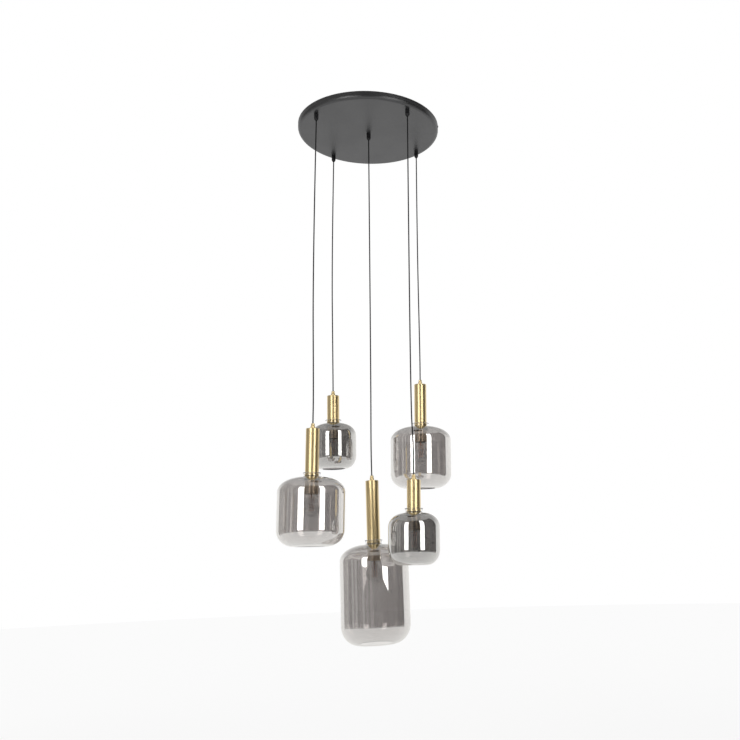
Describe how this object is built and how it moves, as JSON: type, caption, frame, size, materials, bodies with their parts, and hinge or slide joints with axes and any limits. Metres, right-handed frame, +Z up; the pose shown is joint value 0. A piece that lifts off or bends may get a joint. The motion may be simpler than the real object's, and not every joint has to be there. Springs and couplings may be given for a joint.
{
  "type": "cluster pendant lamp",
  "caption": "Ceiling cluster pendant: a round canopy with cord grips, black cords, brass tubes and open smoked glass shades of several sizes hung at staggered heights.",
  "frame": {"origin": "centre of the ceiling bracket's top face, in the plane of the ceiling", "axes": "+Z up into the ceiling, +X to the right along the bracket, +Y away from the viewer"},
  "size_m": [0.5724, 0.568, 1.9392],
  "materials": {
    "black_paint": "satin black powder coat",
    "bracket_steel": "zinc-plated sheet",
    "black_screw": "black screw",
    "grip_plastic": "moulded black nylon",
    "locknut_steel": "zinc-plated",
    "terminal_plastic": "moulded nylon",
    "cord_black": "black round cord",
    "brass_ferrule": "satin brass",
    "brass_tube": "brushed satin brass",
    "lampholder_brass": "satin brass sleeve over a black core",
    "ring_plastic": "black moulded ring",
    "smoked_glass": "smoked glass with a semi-mirror coat",
    "bulb_cap_metal": "nickel-plated thread",
    "clear_glass": "clear glass",
    "filament_copper": "coppery wire on a glass stem"
  },
  "bodies": {
    "root": {"canopy_pan": "black_paint", "ceiling_bracket": "bracket_steel", "side_screws": "black_screw", "cord_grips": "grip_plastic", "grip_locknuts": "locknut_steel", "terminal_block": "terminal_plastic", "cord_tails": "cord_black"},
    "front_left_neck": {"front_left_cord_neck": "cord_black"},
    "front_left_pendant": {"front_left_cord": "cord_black", "front_left_ferrule": "brass_ferrule", "front_left_tube": "brass_tube", "front_left_lampholder": "lampholder_brass", "front_left_shade_ring": "ring_plastic", "front_left_shade": "smoked_glass", "front_left_bulb_cap": "bulb_cap_metal", "front_left_bulb_glass": "clear_glass", "front_left_filament": "filament_copper"},
    "back_left_neck": {"back_left_cord_neck": "cord_black"},
    "back_left_pendant": {"back_left_cord": "cord_black", "back_left_ferrule": "brass_ferrule", "back_left_tube": "brass_tube", "back_left_lampholder": "lampholder_brass", "back_left_shade_ring": "ring_plastic", "back_left_shade": "smoked_glass", "back_left_bulb_cap": "bulb_cap_metal", "back_left_bulb_glass": "clear_glass", "back_left_filament": "filament_copper"},
    "centre_neck": {"centre_cord_neck": "cord_black"},
    "centre_pendant": {"centre_cord": "cord_black", "centre_ferrule": "brass_ferrule", "centre_tube": "brass_tube", "centre_lampholder": "lampholder_brass", "centre_shade_ring": "ring_plastic", "centre_shade": "smoked_glass", "centre_bulb_cap": "bulb_cap_metal", "centre_bulb_glass": "clear_glass", "centre_filament": "filament_copper"},
    "front_right_neck": {"front_right_cord_neck": "cord_black"},
    "front_right_pendant": {"front_right_cord": "cord_black", "front_right_ferrule": "brass_ferrule", "front_right_tube": "brass_tube", "front_right_lampholder": "lampholder_brass", "front_right_shade_ring": "ring_plastic", "front_right_shade": "smoked_glass", "front_right_bulb_cap": "bulb_cap_metal", "front_right_bulb_glass": "clear_glass", "front_right_filament": "filament_copper"},
    "back_right_neck": {"back_right_cord_neck": "cord_black"},
    "back_right_pendant": {"back_right_cord": "cord_black", "back_right_ferrule": "brass_ferrule", "back_right_tube": "brass_tube", "back_right_lampholder": "lampholder_brass", "back_right_shade_ring": "ring_plastic", "back_right_shade": "smoked_glass", "back_right_bulb_cap": "bulb_cap_metal", "back_right_bulb_glass": "clear_glass", "back_right_filament": "filament_copper"}
  },
  "joints": [
    {"name": "front_left_swing_fore_aft", "type": "hinge", "parent": "root", "child": "front_left_neck", "pos_m": [-0.17, -0.17, -0.054], "axis": [1, 0, 0], "range_deg": [-8, 4]},
    {"name": "front_left_swing_sideways", "type": "hinge", "parent": "front_left_neck", "child": "front_left_pendant", "pos_m": [-0.17, -0.17, -0.066], "axis": [0, 1, 0], "range_deg": [-4, 8]},
    {"name": "back_left_swing_fore_aft", "type": "hinge", "parent": "root", "child": "back_left_neck", "pos_m": [-0.17, 0.17, -0.054], "axis": [1, 0, 0], "range_deg": [-4, 8]},
    {"name": "back_left_swing_sideways", "type": "hinge", "parent": "back_left_neck", "child": "back_left_pendant", "pos_m": [-0.17, 0.17, -0.066], "axis": [0, 1, 0], "range_deg": [-4, 8]},
    {"name": "centre_swing_fore_aft", "type": "hinge", "parent": "root", "child": "centre_neck", "pos_m": [0, 0, -0.054], "axis": [1, 0, 0], "range_deg": [-1.2, 4]},
    {"name": "centre_swing_sideways", "type": "hinge", "parent": "centre_neck", "child": "centre_pendant", "pos_m": [0, 0, -0.066], "axis": [0, 1, 0], "range_deg": [-1.2, 4]},
    {"name": "front_right_swing_fore_aft", "type": "hinge", "parent": "root", "child": "front_right_neck", "pos_m": [0.17, -0.17, -0.054], "axis": [1, 0, 0], "range_deg": [-8, 1.2]},
    {"name": "front_right_swing_sideways", "type": "hinge", "parent": "front_right_neck", "child": "front_right_pendant", "pos_m": [0.17, -0.17, -0.066], "axis": [0, 1, 0], "range_deg": [-8, 1.2]},
    {"name": "back_right_swing_fore_aft", "type": "hinge", "parent": "root", "child": "back_right_neck", "pos_m": [0.17, 0.17, -0.054], "axis": [1, 0, 0], "range_deg": [-4, 8]},
    {"name": "back_right_swing_sideways", "type": "hinge", "parent": "back_right_neck", "child": "back_right_pendant", "pos_m": [0.17, 0.17, -0.066], "axis": [0, 1, 0], "range_deg": [-8, 4]}
  ]
}
